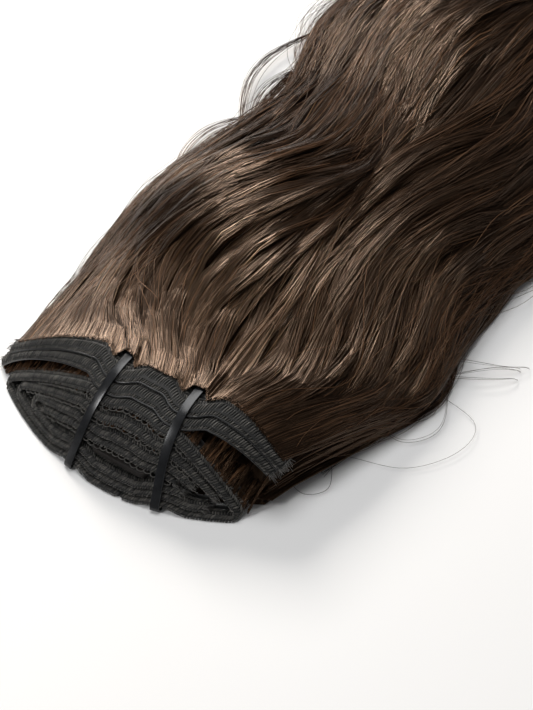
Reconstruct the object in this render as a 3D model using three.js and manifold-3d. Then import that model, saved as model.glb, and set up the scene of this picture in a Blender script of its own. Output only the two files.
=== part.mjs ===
// A bundle of clip-in hair wefts. The stitched bands are folded and stacked in a low oval,
// two flat straps bind the stack, and the hair lies behind it in three layers of wavy locks.
// Millimetres. +X runs along the bands, +Y is the way the hair runs and +Z is up. The origin
// lies on the surface that the bundle rests on, under the bound end.

import * as THREE from "three";
import { mergeVertices } from "three/addons/utils/BufferGeometryUtils.js";
import Module from "manifold-3d";

const wasm = await Module();
wasm.setup();

// Gap that neighbouring pieces keep
const clearance = 0.3;

// One stitched band: a rounded sewing bead along its front edge and a thinner tail behind
const bandThickness = 2.2;
const bandDepth = 7;
const bandNose = 1.3;
const bandTail = 1.6;
const beadStart = 1;
const beadEnd = 3;

// The stack of bands, seen from the front: two open arches over a lens of folded bands
const stackHeight = 30.2;
const archLeftReach = 72;
const archRightReach = 71;
const archLeftPower = 3.1;
const archRightPower = 3.8;
const lensLeftReach = 61;
const lensRightReach = 50;
const lensPower = 2.4;
const foldRadius = 2;

// Where the cut ends of the bands lie along X
const topBandLeft = -62;
const topBandRight = 55;
const secondBandLeft = -65;
const secondBandRight = 53;
const outerFoldSeam = 8;

// The front of the stack, seen from above and from the side: it bulges forward in the middle,
// leans back as it rises and rolls over backwards near its top
const frontBulge = 18;
const frontLeftReach = 58;
const frontRightReach = 52;
const frontLean = 0.66;
const frontCrown = 15;
const frontCrownPower = 5;

// Flat binding straps
const tieWidth = 3.2;
const tieThickness = 0.9;
const tieLeftTop = -13;
const tieLeftBottom = -15.5;
const tieRightTop = 17;
const tieRightBottom = 22;
const tieBite = 1.6;
const tieBiteFade = 9;
const tieHeadLength = 5;
const tieHeadWidth = 4.6;
const tieHeadDepth = 3.4;

// The snap clip, closed, sewn under the innermost band
const clipLength = 24;
const clipThickness = 2.2;
const clipSetback = 1.2;

// Hair
const hairLength = 395;
const hairStart = 7;
const hairHalfWidth = 78;
const hairHeight = 37;
const domeEdge = 0.92;
const domePower = 2.4;
const leanFade = 0.2;
const layerGap = 0.45;
const waveLength = 132;
const waveSwing = 7;
const lockHalfWidth = 9;
const lockHalfHeight = 4.2;
const tipSpread = 0.6;
const tipHeight = 0.35;
const tipStart = 0.8;
const rootSetback = 4;
const rootLeast = 0.8;
const rootLeftOuter = -52;
const rootRightOuter = 47;

// How the hair pile widens and thins along its length: shares of hairLength, of
// hairHalfWidth (left and right of the origin) and of hairHeight
const pileColumns = ["along", "left", "right", "height"];
const pileRows = [
  [0.0, 0.76, 0.7, 0.79],
  [0.04, 0.81, 0.76, 0.82],
  [0.1, 0.84, 0.85, 0.92],
  [0.19, 0.92, 0.96, 1.0],
  [0.27, 0.97, 0.9, 0.97],
  [0.36, 0.91, 0.89, 0.9],
  [0.46, 0.81, 0.97, 0.92],
  [0.57, 0.99, 1.0, 0.93],
  [0.67, 1.0, 0.88, 0.84],
  [0.77, 0.86, 0.82, 0.72],
  [0.86, 0.72, 0.72, 0.52],
];

// The three layers of hair, as shares of the height of the pile
const layerColumns = ["name", "low", "high"];
const layerRows = [
  ["hair_bottom", 0, 0.42],
  ["hair_middle", 0.42, 0.74],
  ["hair_top", 0.74, 1],
];

// The locks: place across the pile, share of lockHalfWidth, end along the hair, wave phase
const lockColumns = ["layer", "across", "width", "end", "phase"];
const lockRows = [
  ["hair_top", -0.84, 1.0, 0.93, 0.0],
  ["hair_top", -0.62, 1.1, 0.97, 0.08],
  ["hair_top", -0.4, 1.0, 0.94, 0.02],
  ["hair_top", -0.19, 1.15, 0.99, 0.12],
  ["hair_top", 0.03, 1.0, 0.96, 0.06],
  ["hair_top", 0.24, 1.15, 1.0, 0.16],
  ["hair_top", 0.45, 1.0, 0.95, 0.1],
  ["hair_top", 0.66, 1.1, 0.98, 0.2],
  ["hair_top", 0.86, 1.0, 0.92, 0.14],
  ["hair_middle", -0.98, 0.8, 0.92, 0.1],
  ["hair_middle", -0.5, 1.0, 0.98, 0.2],
  ["hair_middle", 0.0, 1.0, 0.97, 0.3],
  ["hair_middle", 0.5, 1.0, 0.99, 0.4],
  ["hair_middle", 0.98, 0.8, 0.93, 0.5],
  ["hair_bottom", -1.0, 0.9, 0.95, 0.3],
  ["hair_bottom", -0.7, 1.0, 0.97, 0.4],
  ["hair_bottom", -0.2, 1.0, 0.95, 0.5],
  ["hair_bottom", 0.25, 1.0, 0.98, 0.6],
  ["hair_bottom", 0.7, 1.0, 0.96, 0.7],
  ["hair_bottom", 1.0, 0.9, 0.94, 0.8],
];

const clipDepth = bandDepth - clipSetback - 2 * clearance;
const bandPitch = bandThickness + clearance;
const tieRise = tieThickness + 2 * clearance;

const ties = [
  { name: "tie_left", top: tieLeftTop, bottom: tieLeftBottom },
  { name: "tie_right", top: tieRightTop, bottom: tieRightBottom },
];

function named(columns, row) {
  return Object.fromEntries(columns.map((column, i) => [column, row[i]]));
}

const pile = pileRows.map((row) => named(pileColumns, row));
const layers = layerRows.map((row) => named(layerColumns, row));
const locks = lockRows.map((row) => named(lockColumns, row));

function smooth(t) {
  const s = Math.min(1, Math.max(0, t));
  return s * s * (3 - 2 * s);
}

function mix(a, b, t) {
  return a + (b - a) * t;
}

function steps(from, to, count) {
  return Array.from({ length: count + 1 }, (_, i) => mix(from, to, i / count));
}

// 1 under a strap, fading to 0 beside it
function strapNear(x, strapX) {
  const flat = tieWidth / 2 + clearance;
  return 1 - smooth((Math.abs(x - strapX) - flat) / tieBiteFade);
}

function biteAt(x) {
  return tieBite * Math.max(...ties.map((tie) => strapNear(x, tie.top)));
}

function riseAt(x) {
  return tieRise * Math.max(...ties.map((tie) => strapNear(x, tie.bottom)));
}

// Outer surface of the stack
function archTop(x) {
  const reach = x < 0 ? archLeftReach : archRightReach;
  const power = x < 0 ? archLeftPower : archRightPower;
  return stackHeight * (1 - Math.abs(x / reach) ** power) - biteAt(x);
}

function slopeOf(line, x) {
  const h = 0.5;
  return (line(x + h) - line(x - h)) / (2 * h);
}

// The line that lies a given distance below another, measured square to it
function below(line, distance) {
  return (x) => line(x) - distance * Math.hypot(1, slopeOf(line, x));
}

const topLine = below(archTop, bandThickness / 2);
const secondLine = below(topLine, bandPitch);
const underSecond = below(secondLine, bandPitch);

function lens(x) {
  const reach = x < 0 ? lensLeftReach : lensRightReach;
  return underSecond(0) * (1 - Math.abs(x / reach) ** lensPower);
}

// Upper and lower lines of the nested folds; each next one lies inside the last, lower by a
// share of the free height that is left there
function outerUpper(x) {
  return Math.min(underSecond(x), lens(x));
}

function outerLower(x) {
  return bandThickness / 2 + riseAt(x);
}

function insideFold(upper, lower, share) {
  const next = below(upper, bandPitch);
  const nextLower = (x) => lower(x) + bandPitch * Math.hypot(1, slopeOf(lower, x));
  const nextUpper = (x) => {
    const free = next(x) - nextLower(x) - 2 * foldRadius;
    return next(x) - share * Math.max(0, free);
  };
  return { upper: nextUpper, lower: nextLower };
}

const outerFold = { upper: outerUpper, lower: outerLower };
const middleFold = insideFold(outerUpper, outerLower, 0.1);
const innerFold = insideFold(middleFold.upper, middleFold.lower, 0.22);

// The place nearest to a side where a fold is still open by a given height
function openEnd(fold, side, height) {
  const reach = side < 0 ? lensLeftReach : lensRightReach;
  let near = 0;
  let far = side * reach;
  for (let i = 0; i < 40; i += 1) {
    const x = (near + far) / 2;
    if (fold.upper(x) - fold.lower(x) > height) {
      near = x;
    } else {
      far = x;
    }
  }
  return near;
}

function alongLine(line, from, to, count) {
  return steps(from, to, count).map((x) => new THREE.Vector2(x, line(x)));
}

// A turn from one line of a fold to the other at its open end
function turn(fold, side, fromLine, toLine, x, count) {
  const start = new THREE.Vector2(x, fromLine(x));
  const end = new THREE.Vector2(x, toLine(x));
  const pull = (4 / 3) * foldRadius;
  const handle = (line, point) =>
    new THREE.Vector2(side, side * slopeOf(line, x)).normalize().multiplyScalar(pull).add(point);
  const curve = new THREE.CubicBezierCurve(
    start, handle(fromLine, start), handle(toLine, end), end,
  );
  return curve.getPoints(count).slice(1, -1);
}

function outerFoldPath() {
  const left = openEnd(outerFold, -1, 2 * foldRadius);
  const right = openEnd(outerFold, 1, 2 * foldRadius);
  return [
    ...alongLine(outerLower, outerFoldSeam + clearance, right, 8),
    ...turn(outerFold, 1, outerLower, outerUpper, right, 6),
    ...alongLine(outerUpper, right, left, 26),
    ...turn(outerFold, -1, outerUpper, outerLower, left, 6),
    ...alongLine(outerLower, left, outerFoldSeam - clearance, 14),
  ];
}

function nestedFoldPath(fold, upperSteps, lowerSteps) {
  const left = openEnd(fold, -1, 2 * foldRadius);
  const right = openEnd(fold, 1, 2 * foldRadius);
  return [
    ...alongLine(fold.upper, right, left, upperSteps),
    ...turn(fold, -1, fold.upper, fold.lower, left, 6),
    ...alongLine(fold.lower, left, right - bandThickness, lowerSteps),
  ];
}

// The innermost band lies under the inner fold where the fold is open enough for it
const coreLine = below(innerFold.upper, bandPitch);
const coreOpening = 2 * bandThickness + 3 * clearance;

function corePath() {
  const left = openEnd(innerFold, -1, coreOpening);
  const right = openEnd(innerFold, 1, coreOpening);
  return alongLine(coreLine, left, right, 12);
}

// The stack leans: every piece of it is placed by its height and its depth behind the front
function frontEdge(x) {
  const reach = x < 0 ? frontLeftReach : frontRightReach;
  return frontBulge * ((x / reach) ** 2 - 1);
}

function leanAt(z) {
  const rise = Math.min(1, Math.max(0, z / stackHeight));
  return frontLean * z + frontCrown * rise ** frontCrownPower;
}

function stackY(x, z, depth) {
  return frontEdge(x) + leanAt(z) + depth;
}

// How much longer a gap is along Y than square to the leaning stack
function leanStretch(x, z) {
  return Math.hypot(1, slopeOf(frontEdge, x), slopeOf(leanAt, z));
}

function solidGeometry(points, faces) {
  const geometry = new THREE.BufferGeometry();
  const flat = points.flatMap((p) => [p.x, p.y, p.z]);
  geometry.setAttribute("position", new THREE.Float32BufferAttribute(flat, 3));
  geometry.setIndex(faces.flat());
  return geometry;
}

// A body from rings of points, each ring closed, and capped at both ends unless it is a loop.
// A cap joins the first half of a ring to the second half, point by point. The quads of the
// second half are split the mirrored way, so that the roof of one body and the floor of the
// next stay parallel.
function ringBody(rings, isLoop) {
  const size = rings[0].length;
  const half = size / 2;
  const points = rings.flat();
  const faces = [];
  const spans = isLoop ? rings.length : rings.length - 1;
  for (let r = 0; r < spans; r += 1) {
    const a = r * size;
    const b = ((r + 1) % rings.length) * size;
    for (let i = 0; i < size; i += 1) {
      const j = (i + 1) % size;
      if (i < half) {
        faces.push([a + i, b + i, b + j], [a + i, b + j, a + j]);
      } else {
        faces.push([a + i, b + i, a + j], [b + i, b + j, a + j]);
      }
    }
  }
  if (!isLoop) {
    const last = (rings.length - 1) * size;
    for (let i = 0; i < half - 1; i += 1) {
      const k = size - 1 - i;
      faces.push([i, i + 1, k - 1], [i, k - 1, k]);
      faces.push([last + i, last + k - 1, last + i + 1], [last + i, last + k, last + k - 1]);
    }
  }
  return solidGeometry(points, faces);
}

// Signed volume, to turn every body's faces outward
function facingOut(geometry) {
  const index = geometry.index.array;
  const at = (i) => new THREE.Vector3().fromBufferAttribute(geometry.attributes.position, i);
  let volume = 0;
  for (let i = 0; i < index.length; i += 3) {
    volume += at(index[i]).dot(at(index[i + 1]).cross(at(index[i + 2])));
  }
  if (volume < 0) {
    for (let i = 0; i < index.length; i += 3) {
      [index[i], index[i + 1]] = [index[i + 1], index[i]];
    }
  }
  return geometry;
}

function toManifold(geometry) {
  const bare = geometry.clone();
  bare.deleteAttribute("normal");
  bare.deleteAttribute("uv");
  const merged = mergeVertices(bare, 1e-4);
  return new wasm.Manifold(new wasm.Mesh({
    numProp: 3,
    vertProperties: Float32Array.from(merged.attributes.position.array),
    triVerts: Uint32Array.from(merged.index.array),
  }));
}

function fromManifold(solid) {
  const mesh = solid.getMesh();
  const geometry = new THREE.BufferGeometry();
  geometry.setAttribute("position", new THREE.BufferAttribute(mesh.vertProperties, 3));
  geometry.setIndex(new THREE.BufferAttribute(mesh.triVerts, 1));
  return geometry;
}

// A band of even section that follows a path of (x, z) points in the stack
function bandGeometry(path) {
  const section = [
    [0, bandNose / 2],
    [beadStart, bandThickness / 2],
    [beadEnd, bandThickness / 2],
    [bandDepth, bandTail / 2],
  ];
  const rings = path.map((point, i) => {
    const before = path[Math.max(0, i - 1)];
    const after = path[Math.min(path.length - 1, i + 1)];
    const way = after.clone().sub(before).normalize();
    const corner = ([depth, half]) => {
      const x = point.x - way.y * half;
      const z = point.y + way.x * half;
      return new THREE.Vector3(x, stackY(x, z, depth), z);
    };
    const upper = section.map(corner);
    const lower = section.map(([depth, half]) => corner([depth, -half])).reverse();
    return [...upper, ...lower];
  });
  return facingOut(ringBody(rings, false));
}

// Centre line of a strap: it hugs the stack's outline in its own upright plane
function strapPath(tie) {
  const reach = clearance + tieThickness / 2;
  const topZ = archTop(tie.top);
  const lowZ = tieRise;
  const acrossAt = (z) => mix(tie.bottom, tie.top, z / topZ);
  const point = (z, depth) => new THREE.Vector2(stackY(acrossAt(z), z, depth), z);
  const front = steps(lowZ, topZ, 10).map((z) => point(z, 0));
  const back = steps(topZ, lowZ, 4).map((z) => point(z, bandDepth));
  const hull = [...front, ...back];
  const rounded = [];
  hull.forEach((corner, i) => {
    const before = hull[(i + hull.length - 1) % hull.length];
    const after = hull[(i + 1) % hull.length];
    const outward = (a, b) => {
      const way = b.clone().sub(a).normalize();
      return Math.atan2(way.x, -way.y);
    };
    const a = outward(before, corner);
    let b = outward(corner, after);
    b += b - a > Math.PI ? -2 * Math.PI : 0;
    b += b - a < -Math.PI ? 2 * Math.PI : 0;
    const count = Math.abs(b - a) > 0.6 ? 3 : 0;
    const angles = count ? steps(a, b, count) : [(a + b) / 2];
    const grow = count ? reach : reach / Math.cos((b - a) / 2);
    angles.forEach((angle) => {
      const y = corner.x + grow * Math.cos(angle);
      const z = corner.y + grow * Math.sin(angle);
      rounded.push(new THREE.Vector3(acrossAt(z), y, z));
    });
  });
  return rounded;
}

// The Y of a corner once it follows the bulge of the front beside its centre
function followFront(corner, centreX) {
  return corner.y + frontEdge(corner.x) - frontEdge(centreX);
}

function strapGeometry(tie, width, thickness) {
  const path = strapPath(tie);
  const rings = path.map((point, i) => {
    const before = path[(i + path.length - 1) % path.length];
    const after = path[(i + 1) % path.length];
    const way = after.clone().sub(before).setX(0).normalize();
    const out = new THREE.Vector3(0, -way.z, way.y).multiplyScalar(thickness / 2);
    const side = new THREE.Vector3(width / 2, 0, 0);
    return [
      point.clone().add(out).add(side),
      point.clone().add(out).sub(side),
      point.clone().sub(out).sub(side),
      point.clone().sub(out).add(side),
    ].map((corner) => corner.setY(followFront(corner, point.x)));
  });
  return facingOut(ringBody(rings, true));
}

// The strap's locking head, on its back run among the hair
function strapHeadGeometry(tie, grow) {
  const z = archTop(tie.top) / 2;
  const x = mix(tie.bottom, tie.top, 0.5);
  const stretch = leanStretch(x, z);
  const y = stackY(x, z, bandDepth + (clearance + tieHeadDepth / 2) * stretch);
  const head = new THREE.BoxGeometry(
    tieHeadWidth + 2 * grow, tieHeadDepth + 2 * grow, tieHeadLength + 2 * grow,
  );
  head.rotateX(-Math.atan(slopeOf(leanAt, z)));
  head.translate(x, y, z);
  const places = head.attributes.position;
  for (let i = 0; i < places.count; i += 1) {
    places.setY(i, followFront(new THREE.Vector3().fromBufferAttribute(places, i), x));
  }
  return head;
}

function strapSolid(tie, grow) {
  const loop = strapGeometry(tie, tieWidth + 2 * grow, tieThickness + 2 * grow);
  return toManifold(loop).add(toManifold(strapHeadGeometry(tie, grow)));
}

// Size of the hair pile at a share of its length
function pileAt(along) {
  const last = pile[pile.length - 1];
  const next = pile.findIndex((row) => row.along > along);
  if (next < 0) {
    const thin = Math.max(0, (1 - along) / (1 - last.along));
    return {
      left: last.left * mix(tipSpread, 1, thin),
      right: last.right * mix(tipSpread, 1, thin),
      height: last.height * mix(tipHeight, 1, thin),
    };
  }
  const a = pile[Math.max(0, next - 1)];
  const b = pile[next];
  const t = smooth((along - a.along) / (b.along - a.along));
  return {
    left: mix(a.left, b.left, t),
    right: mix(a.right, b.right, t),
    height: mix(a.height, b.height, t),
  };
}

function acrossPile(along, across) {
  const row = pileAt(along);
  return hairHalfWidth * mix(-row.left, row.right, (across + 1) / 2);
}

// The top of the pile: as high as the back of the top band where the hair starts, and a low
// dome further on
function pileHeight(along, across) {
  const edge = Math.min(1, Math.abs(across)) * domeEdge;
  const dome = hairHeight * pileAt(along).height * (1 - edge ** domePower);
  const inPile = Math.min(1, Math.max(-1, across));
  const stack = topLine(acrossPile(0, inPile)) + bandTail / 2;
  return mix(Math.max(dome, stack), dome, smooth(along / leanFade));
}

// The hair starts along the leaning back of the stack and ends in an upright plane
function hairY(along, x, z) {
  const lean = 1 - smooth(along / leanFade);
  const behind = stackY(x, z, bandDepth + clearance * leanStretch(x, z));
  return mix(hairStart, behind, lean) + along * hairLength;
}

// A layer's slab between two shares of the pile's height, out to a share of its width
function layerSlab(layer, alongSteps, acrossSteps, headroom) {
  const floorGap = layer.low > 0 ? layerGap / 2 : 0;
  const roofGap = layer.high < 1 ? layerGap / 2 : -headroom;
  const rings = alongSteps.map((along) => {
    const place = (across, share, shift) => {
      const x = acrossPile(along, across);
      const z = share * pileHeight(along, across) + shift;
      return new THREE.Vector3(x, hairY(along, x, z), z);
    };
    return [
      ...acrossSteps.map((across) => place(across, layer.high, -roofGap)),
      ...[...acrossSteps].reverse().map((across) => place(across, layer.low, floorGap)),
    ];
  });
  return facingOut(ringBody(rings, false));
}

// A wavy lock with a pointed end, proud of its layer's upper surface
function lockGeometry(layer, lock) {
  const sides = 6;
  const stations = steps(0, lock.end, 14);
  const rings = stations.map((along) => {
    const size = pileAt(along);
    const taper = Math.sqrt(Math.max(0.02, 1 - (along / lock.end) ** 3));
    const swing = waveSwing * smooth(along / leanFade);
    const angle = 2 * Math.PI * ((along * hairLength) / waveLength + lock.phase);
    const x0 = acrossPile(along, lock.across) + swing * Math.sin(angle);
    const spread = (size.left + size.right) / (pile[0].left + pile[0].right);
    const halfWidth = lockHalfWidth * lock.width * spread * taper;
    const halfHeight = lockHalfHeight * taper * mix(0.25, 1, smooth(along / (leanFade / 2)));
    const middle = (layer.low + layer.high) / 2;
    const seat = layer.high < 1 ? middle : layer.high;
    const share = mix(seat, middle, smooth((along - tipStart) / (1 - tipStart)));
    const z0 = share * pileHeight(along, lock.across) - (layer.high < 1 ? 0 : halfHeight * 0.3);
    return Array.from({ length: sides }, (_, i) => {
      const turnAngle = (2 * Math.PI * (i + 0.5)) / sides;
      const x = x0 + halfWidth * Math.cos(turnAngle);
      const z = z0 + halfHeight * Math.sin(turnAngle);
      return new THREE.Vector3(x, hairY(along, x, z), z);
    });
  });
  return facingOut(ringBody(rings, false));
}

// Hair roots that fill the gap between the second band and the folds, set back from the front.
// A layer has them wherever its own share of the pile meets that gap.
function rootRoom(layer, x) {
  const cover = (line) => (bandThickness / 2 + clearance) * Math.hypot(1, slopeOf(line, x));
  const width = x < 0 ? pile[0].left : pile[0].right;
  const pileZ = pileHeight(0, x / (hairHalfWidth * width));
  const low = Math.max(outerUpper(x) + cover(outerUpper), layer.low * pileZ + 3 * clearance);
  const high = Math.min(secondLine(x) - cover(secondLine), layer.high * pileZ - 3 * clearance);
  return { x, low, high };
}

function rootGeometry(layer, from, to) {
  const rooms = steps(from, to, 14).map((x) => rootRoom(layer, x));
  const open = rooms.filter((room) => room.high - room.low > rootLeast);
  const back = bandDepth + 4 * clearance;
  const rings = open.map(({ x, low, high }) => [
    new THREE.Vector3(x, stackY(x, high, rootSetback), high),
    new THREE.Vector3(x, stackY(x, high, back), high),
    new THREE.Vector3(x, stackY(x, low, back), low),
    new THREE.Vector3(x, stackY(x, low, rootSetback), low),
  ]);
  return rings.length > 1 ? facingOut(ringBody(rings, false)) : null;
}

const inside = [-1, -0.82, -0.62, -0.4, -0.2, 0, 0.2, 0.4, 0.62, 0.82, 1];
const outside = [-1.3, ...inside, 1.3];

function hairGeometry(layer) {
  const rows = pile.map((row) => row.along);
  let solid = toManifold(layerSlab(layer, rows, inside, 0));
  const room = toManifold(layerSlab(layer, [...rows, 1.01], outside, lockHalfHeight * 2));
  locks.filter((lock) => lock.layer === layer.name).forEach((lock) => {
    solid = solid.add(toManifold(lockGeometry(layer, lock)).intersect(room));
  });
  const roots = [
    rootGeometry(layer, rootLeftOuter, tieLeftTop - tieBiteFade),
    rootGeometry(layer, tieRightTop + tieBiteFade, rootRightOuter),
  ];
  roots.filter((root) => root).forEach((root) => {
    solid = solid.add(toManifold(root));
  });
  ties.forEach((tie) => {
    solid = solid.subtract(strapSolid(tie, clearance));
  });
  return fromManifold(solid);
}

// A closed snap clip: a plate with rounded ends, flat under the innermost band, that follows
// the bulge of the front
function clipGeometry() {
  const outline = new THREE.Shape();
  const half = clipLength / 2 - clipDepth / 2;
  outline.absarc(half, 0, clipDepth / 2, -Math.PI / 2, Math.PI / 2, false);
  outline.absarc(-half, 0, clipDepth / 2, Math.PI / 2, (3 * Math.PI) / 2, false);
  const plate = new THREE.ExtrudeGeometry(outline, {
    depth: clipThickness, bevelEnabled: false, curveSegments: 6,
  });
  const fitOpening = coreOpening + clipThickness + clearance;
  const left = openEnd(innerFold, -1, fitOpening);
  const right = openEnd(innerFold, 1, fitOpening);
  const x = (left + right) / 2;
  const under = Math.min(...steps(x - half, x + half, 8).map(coreLine));
  const z = under - bandThickness / 2 - clearance - clipThickness;
  const y = stackY(x, z, clipSetback + clipDepth / 2);
  plate.translate(x, y, z);
  return plate;
}

const looks = {
  band: { color: 0x2b2a28, roughness: 0.85, metalness: 0 },
  hair: { color: 0x35261d, roughness: 0.45, metalness: 0 },
  tie: { color: 0x0b0c0e, roughness: 0.22, metalness: 0 },
  clip: { color: 0x1a1512, roughness: 0.4, metalness: 0.6 },
};

const bundle = new THREE.Group();

function addPiece(name, geometry, look) {
  const mesh = new THREE.Mesh(geometry, new THREE.MeshStandardMaterial(looks[look]));
  mesh.name = name;
  bundle.add(mesh);
  return mesh;
}

addPiece("weft_top", bandGeometry(alongLine(topLine, topBandLeft, topBandRight, 26)), "band");
addPiece(
  "weft_second", bandGeometry(alongLine(secondLine, secondBandLeft, secondBandRight, 26)), "band",
);
addPiece("weft_outer_fold", bandGeometry(outerFoldPath()), "band");
addPiece("weft_middle_fold", bandGeometry(nestedFoldPath(middleFold, 22, 13)), "band");
addPiece("weft_inner_fold", bandGeometry(nestedFoldPath(innerFold, 18, 11)), "band");
addPiece("weft_core", bandGeometry(corePath()), "band");
addPiece("snap_clip", clipGeometry(), "clip");
layers.forEach((layer) => addPiece(layer.name, hairGeometry(layer), "hair"));
ties.forEach((tie) => addPiece(tie.name, fromManifold(strapSolid(tie, 0)), "tie"));

export default bundle;
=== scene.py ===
"""Looks of a bundle of dark brown clip-in hair wefts: stitched bands folded and stacked, two
glossy straps round them, and wavy hair in locks behind. The bands and straps follow the same
curves as the CAD part. Lengths are in millimetres until a mesh is made."""

import math

import bpy
import numpy as np
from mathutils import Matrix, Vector

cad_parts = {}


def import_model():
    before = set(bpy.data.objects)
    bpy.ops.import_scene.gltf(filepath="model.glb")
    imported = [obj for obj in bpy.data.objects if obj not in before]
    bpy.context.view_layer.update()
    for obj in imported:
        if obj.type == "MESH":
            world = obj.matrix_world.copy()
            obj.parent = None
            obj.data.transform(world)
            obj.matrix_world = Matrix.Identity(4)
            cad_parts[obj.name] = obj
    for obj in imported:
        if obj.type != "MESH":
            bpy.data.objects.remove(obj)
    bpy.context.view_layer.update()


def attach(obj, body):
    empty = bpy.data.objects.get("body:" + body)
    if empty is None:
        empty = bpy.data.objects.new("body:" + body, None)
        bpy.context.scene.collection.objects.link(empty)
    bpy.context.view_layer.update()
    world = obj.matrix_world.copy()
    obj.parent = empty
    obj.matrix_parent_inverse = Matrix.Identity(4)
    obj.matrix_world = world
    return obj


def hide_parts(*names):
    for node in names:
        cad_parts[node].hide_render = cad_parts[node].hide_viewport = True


MM = 0.001

# Camera and light
CAMERA_AZIMUTH = 35
CAMERA_ELEVATION = 48
CAMERA_DISTANCE = 750
CAMERA_TARGET = (19.2, 57, 15)
CAMERA_LENS = 105
CAMERA_SENSOR = 36

# The stack of bands, as in the CAD part
CLEARANCE = 0.3
BAND_THICKNESS = 2.2
BAND_DEPTH = 7
BAND_TAIL = 1.6
STACK_HEIGHT = 30.2
ARCH_REACH = (72, 71)
ARCH_POWER = (3.1, 3.8)
LENS_REACH = (61, 50)
LENS_POWER = 2.4
FOLD_RADIUS = 2
TOP_BAND = (-62, 55)
SECOND_BAND = (-65, 53)
OUTER_FOLD_SEAM = 8
FRONT_BULGE = 18
FRONT_REACH = (58, 52)
FRONT_LEAN = 0.66
FRONT_CROWN = 15
FRONT_CROWN_POWER = 5
BAND_PITCH = BAND_THICKNESS + CLEARANCE

# Straps, as in the CAD part
TIE_WIDTH = 3.2
TIE_THICKNESS = 0.9
TIE_COLUMNS = ("name", "top", "bottom")
TIE_ROWS = (
    ("tie_left", -13, -15.5),
    ("tie_right", 17, 22),
)
TIE_BITE = 1.6
TIE_BITE_FADE = 9
TIE_RISE = TIE_THICKNESS + 2 * CLEARANCE
TIE_HEAD = (4.6, 3.4, 5)

# Hair pile, as in the CAD part
HAIR_LENGTH = 395
HAIR_START = 7
HAIR_HALF_WIDTH = 78
HAIR_HEIGHT = 37
DOME_EDGE = 0.92
DOME_POWER = 2.4
LEAN_FADE = 0.2
TIP_SPREAD = 0.6
TIP_HEIGHT = 0.35
PILE_COLUMNS = ("along", "left", "right", "height")
PILE_ROWS = (
    (0.0, 0.76, 0.7, 0.79),
    (0.04, 0.81, 0.76, 0.82),
    (0.1, 0.84, 0.85, 0.92),
    (0.19, 0.92, 0.96, 1.0),
    (0.27, 0.97, 0.9, 0.97),
    (0.36, 0.91, 0.89, 0.9),
    (0.46, 0.81, 0.97, 0.92),
    (0.57, 0.99, 1.0, 0.93),
    (0.67, 1.0, 0.88, 0.84),
    (0.77, 0.86, 0.82, 0.72),
    (0.86, 0.72, 0.72, 0.52),
)

# How the upper hair runs: where a lock leaves the bands, and the places where it bends back
BEND_COLUMNS = ("root", "y1", "x1", "y2", "x2", "y3", "x3", "y4", "x4", "end")
BEND_ROWS = (
    (-44, 83, -55, 150, -27, 245, -43, 320, -28, -38),
    (-19, 66, -41, 160, -7, 235, -22, 310, -6, -20),
    (-2, 70, -30, 155, 2, 232, -11, 308, 4, -8),
    (13, 53, -1, 145, 8, 228, 0, 300, 14, 3),
    (24, 36, 26, 132, 11, 215, 30, 300, 20, 12),
    (33, 42, 41, 110, 28, 210, 47, 290, 34, 24),
    (42, 68, 56, 126, 45, 205, 62, 285, 48, 36),
    (51, 79, 71, 130, 57, 200, 72, 280, 57, 44),
)
BEND_START = 15


def smooth(t):
    s = np.clip(t, 0, 1)
    return s * s * (3 - 2 * s)


def mix(a, b, t):
    return a + (b - a) * t


def side_of(x, pair):
    """The left or the right value of a pair, by the sign of x."""
    return np.where(np.asarray(x) < 0, pair[0], pair[1])


def columns(names, rows):
    return {name: np.array([row[i] for row in rows]) for i, name in enumerate(names)}


TIES = [dict(zip(TIE_COLUMNS, row)) for row in TIE_ROWS]
PILE = columns(PILE_COLUMNS, PILE_ROWS)
BENDS = columns(BEND_COLUMNS, BEND_ROWS)


# The stack's curves


def strap_near(x, strap_x):
    flat = TIE_WIDTH / 2 + CLEARANCE
    return 1 - smooth((np.abs(x - strap_x) - flat) / TIE_BITE_FADE)


def arch_top(x):
    bite = TIE_BITE * np.maximum(*[strap_near(x, tie["top"]) for tie in TIES])
    share = np.abs(x / side_of(x, ARCH_REACH)) ** side_of(x, ARCH_POWER)
    return STACK_HEIGHT * (1 - share) - bite


def slope_of(line, x):
    half = 0.5
    return (line(x + half) - line(x - half)) / (2 * half)


def below(line, distance):
    return lambda x: line(x) - distance * np.hypot(1, slope_of(line, x))


top_line = below(arch_top, BAND_THICKNESS / 2)
second_line = below(top_line, BAND_PITCH)
under_second = below(second_line, BAND_PITCH)


def outer_upper(x):
    share = np.abs(x / side_of(x, LENS_REACH)) ** LENS_POWER
    return np.minimum(under_second(x), under_second(np.float64(0)) * (1 - share))


def outer_lower(x):
    rise = TIE_RISE * np.maximum(*[strap_near(x, tie["bottom"]) for tie in TIES])
    return BAND_THICKNESS / 2 + rise


def inside_fold(upper, lower, share):
    follow = below(upper, BAND_PITCH)

    def next_lower(x):
        return lower(x) + BAND_PITCH * np.hypot(1, slope_of(lower, x))

    def next_upper(x):
        free = follow(x) - next_lower(x) - 2 * FOLD_RADIUS
        return follow(x) - share * np.maximum(0, free)

    return next_upper, next_lower


OUTER_FOLD = (outer_upper, outer_lower)
MIDDLE_FOLD = inside_fold(*OUTER_FOLD, 0.1)
INNER_FOLD = inside_fold(*MIDDLE_FOLD, 0.22)
core_line = below(INNER_FOLD[0], BAND_PITCH)
CORE_OPENING = 2 * BAND_THICKNESS + 3 * CLEARANCE


def open_end(fold, side, height):
    near, far = 0.0, float(side * side_of(side, LENS_REACH))
    for _ in range(40):
        x = (near + far) / 2
        if fold[0](x) - fold[1](x) > height:
            near = x
        else:
            far = x
    return near


def along_line(line, start, end, count=120):
    x = np.linspace(start, end, count + 1)
    return np.stack([x, line(x)], 1)


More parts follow.
